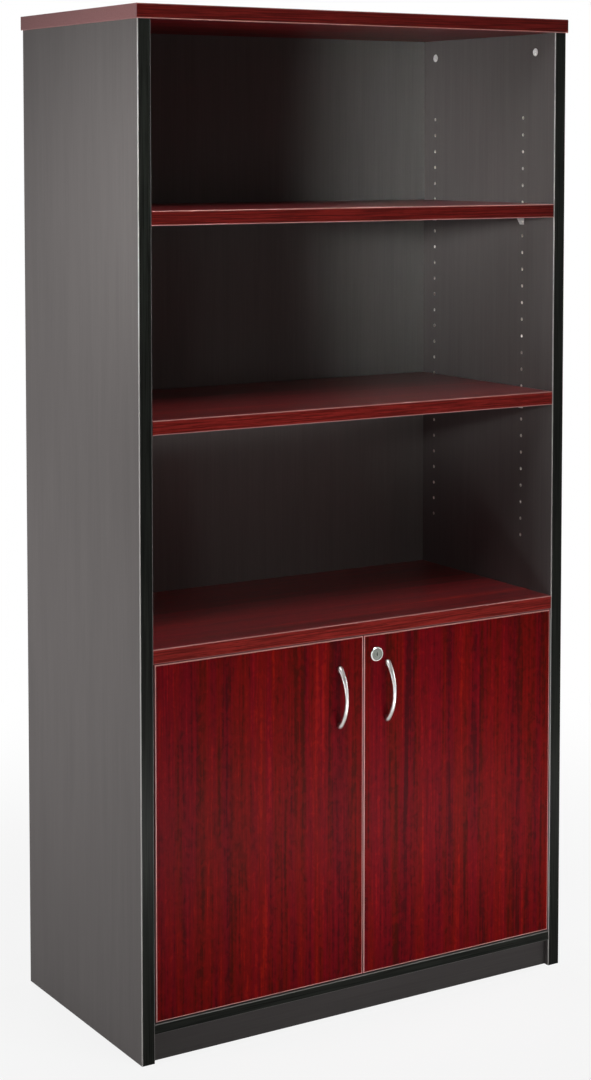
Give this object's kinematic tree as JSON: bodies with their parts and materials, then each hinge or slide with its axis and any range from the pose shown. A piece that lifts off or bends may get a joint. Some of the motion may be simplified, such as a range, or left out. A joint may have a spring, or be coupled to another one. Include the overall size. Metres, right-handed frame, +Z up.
{
  "type": "bookcase with cabinet doors",
  "caption": "Tall bookcase with open adjustable shelves above a lockable cupboard with inset doors, bow handles and a kickboard.",
  "frame": {"origin": "on the floor, in the middle of the whole object's box", "axes": "+Z up, +X to the right seen from the front, +Y to the back, so the doors face -Y"},
  "size_m": [0.906, 0.48, 1.8],
  "materials": {
    "graphite_board": "graphite grey melamine-faced particle board, satin",
    "graphite_edging": "black PVC edge strip",
    "mahogany_board": "red mahogany wood-grain melamine-faced particle board, satin",
    "mahogany_edging": "red mahogany PVC edge strip",
    "plated_steel": "nickel-plated steel",
    "satin_chrome": "satin chrome",
    "cast_zinc": "cast zinc",
    "clear_plastic": "translucent white plastic",
    "beech": "plain beech"
  },
  "bodies": {
    "carcass": {"left_side_panel": "graphite_board", "right_side_panel": "graphite_board", "left_side_edging": "graphite_edging", "right_side_edging": "graphite_edging", "top_panel": "mahogany_board", "top_edging": "mahogany_edging", "fixed_shelf": "mahogany_board", "fixed_shelf_edging": "mahogany_edging", "bottom_panel": "graphite_board", "bottom_panel_edging": "graphite_edging", "back_panel": "graphite_board", "kickboard": "graphite_board", "back_panel_screws": "plated_steel", "top_joint_cams": "cast_zinc", "top_joint_bolts": "plated_steel", "fixed_shelf_cams": "cast_zinc", "fixed_shelf_bolts": "plated_steel", "bottom_panel_cams": "cast_zinc", "bottom_panel_bolts": "plated_steel", "carcass_dowels": "beech", "upper_shelf_supports": "clear_plastic", "middle_shelf_supports": "clear_plastic", "cupboard_shelf_supports": "clear_plastic", "left_hinge_arms": "plated_steel", "right_hinge_arms": "plated_steel", "left_hinge_plates": "plated_steel", "right_hinge_plates": "plated_steel", "left_hinge_plate_screws": "plated_steel", "right_hinge_plate_screws": "plated_steel"},
    "upper_shelf": {"upper_shelf": "mahogany_board", "upper_shelf_edging": "mahogany_edging"},
    "middle_shelf": {"middle_shelf": "mahogany_board", "middle_shelf_edging": "mahogany_edging"},
    "cupboard_shelf": {"cupboard_shelf": "mahogany_board", "cupboard_shelf_edging": "mahogany_edging"},
    "left_door": {"left_door_panel": "mahogany_board", "left_door_edging": "mahogany_edging", "left_handle": "satin_chrome", "left_handle_screws": "plated_steel", "left_hinge_cups": "plated_steel", "left_hinge_cup_screws": "plated_steel", "left_hinge_pins": "plated_steel", "bolt_barrel": "plated_steel", "bolt_screws": "plated_steel", "lock_strike_plate": "plated_steel", "lock_strike_screws": "plated_steel"},
    "bolt": {"bolt_rod": "plated_steel"},
    "right_door": {"right_door_panel": "mahogany_board", "right_door_edging": "mahogany_edging", "right_handle": "satin_chrome", "right_handle_screws": "plated_steel", "right_hinge_cups": "plated_steel", "right_hinge_cup_screws": "plated_steel", "right_hinge_pins": "plated_steel", "lock_barrel": "satin_chrome", "lock_nut": "plated_steel"},
    "lock_cylinder": {"lock_plug": "satin_chrome", "lock_cam": "plated_steel", "lock_cam_screw": "plated_steel"}
  },
  "joints": [
    {"name": "left_door_hinge", "type": "hinge", "parent": "carcass", "child": "left_door", "pos_m": [-0.401, -0.2035, 0.37975], "axis": [0, 0, -1], "range_deg": [0, 100]},
    {"name": "right_door_hinge", "type": "hinge", "parent": "carcass", "child": "right_door", "pos_m": [0.401, -0.2035, 0.37975], "axis": [0, 0, 1], "range_deg": [0, 100]},
    {"name": "bolt_slide", "type": "slide", "parent": "left_door", "child": "bolt", "axis": [0, 0, 1], "range_m": [0, 0.016]},
    {"name": "lock_turn", "type": "hinge", "parent": "right_door", "child": "lock_cylinder", "pos_m": [0.0277, -0.2, 0.6535], "axis": [0, 1, 0], "range_deg": [0, 90]},
    {"name": "upper_shelf_lift", "type": "slide", "parent": "carcass", "child": "upper_shelf", "axis": [0, 0, 1], "range_m": [0, 0.192]},
    {"name": "middle_shelf_lift", "type": "slide", "parent": "carcass", "child": "middle_shelf", "axis": [0, 0, 1], "range_m": [0, 0.256]},
    {"name": "cupboard_shelf_lift", "type": "slide", "parent": "carcass", "child": "cupboard_shelf", "axis": [0, 0, 1], "range_m": [0, 0.128]}
  ]
}
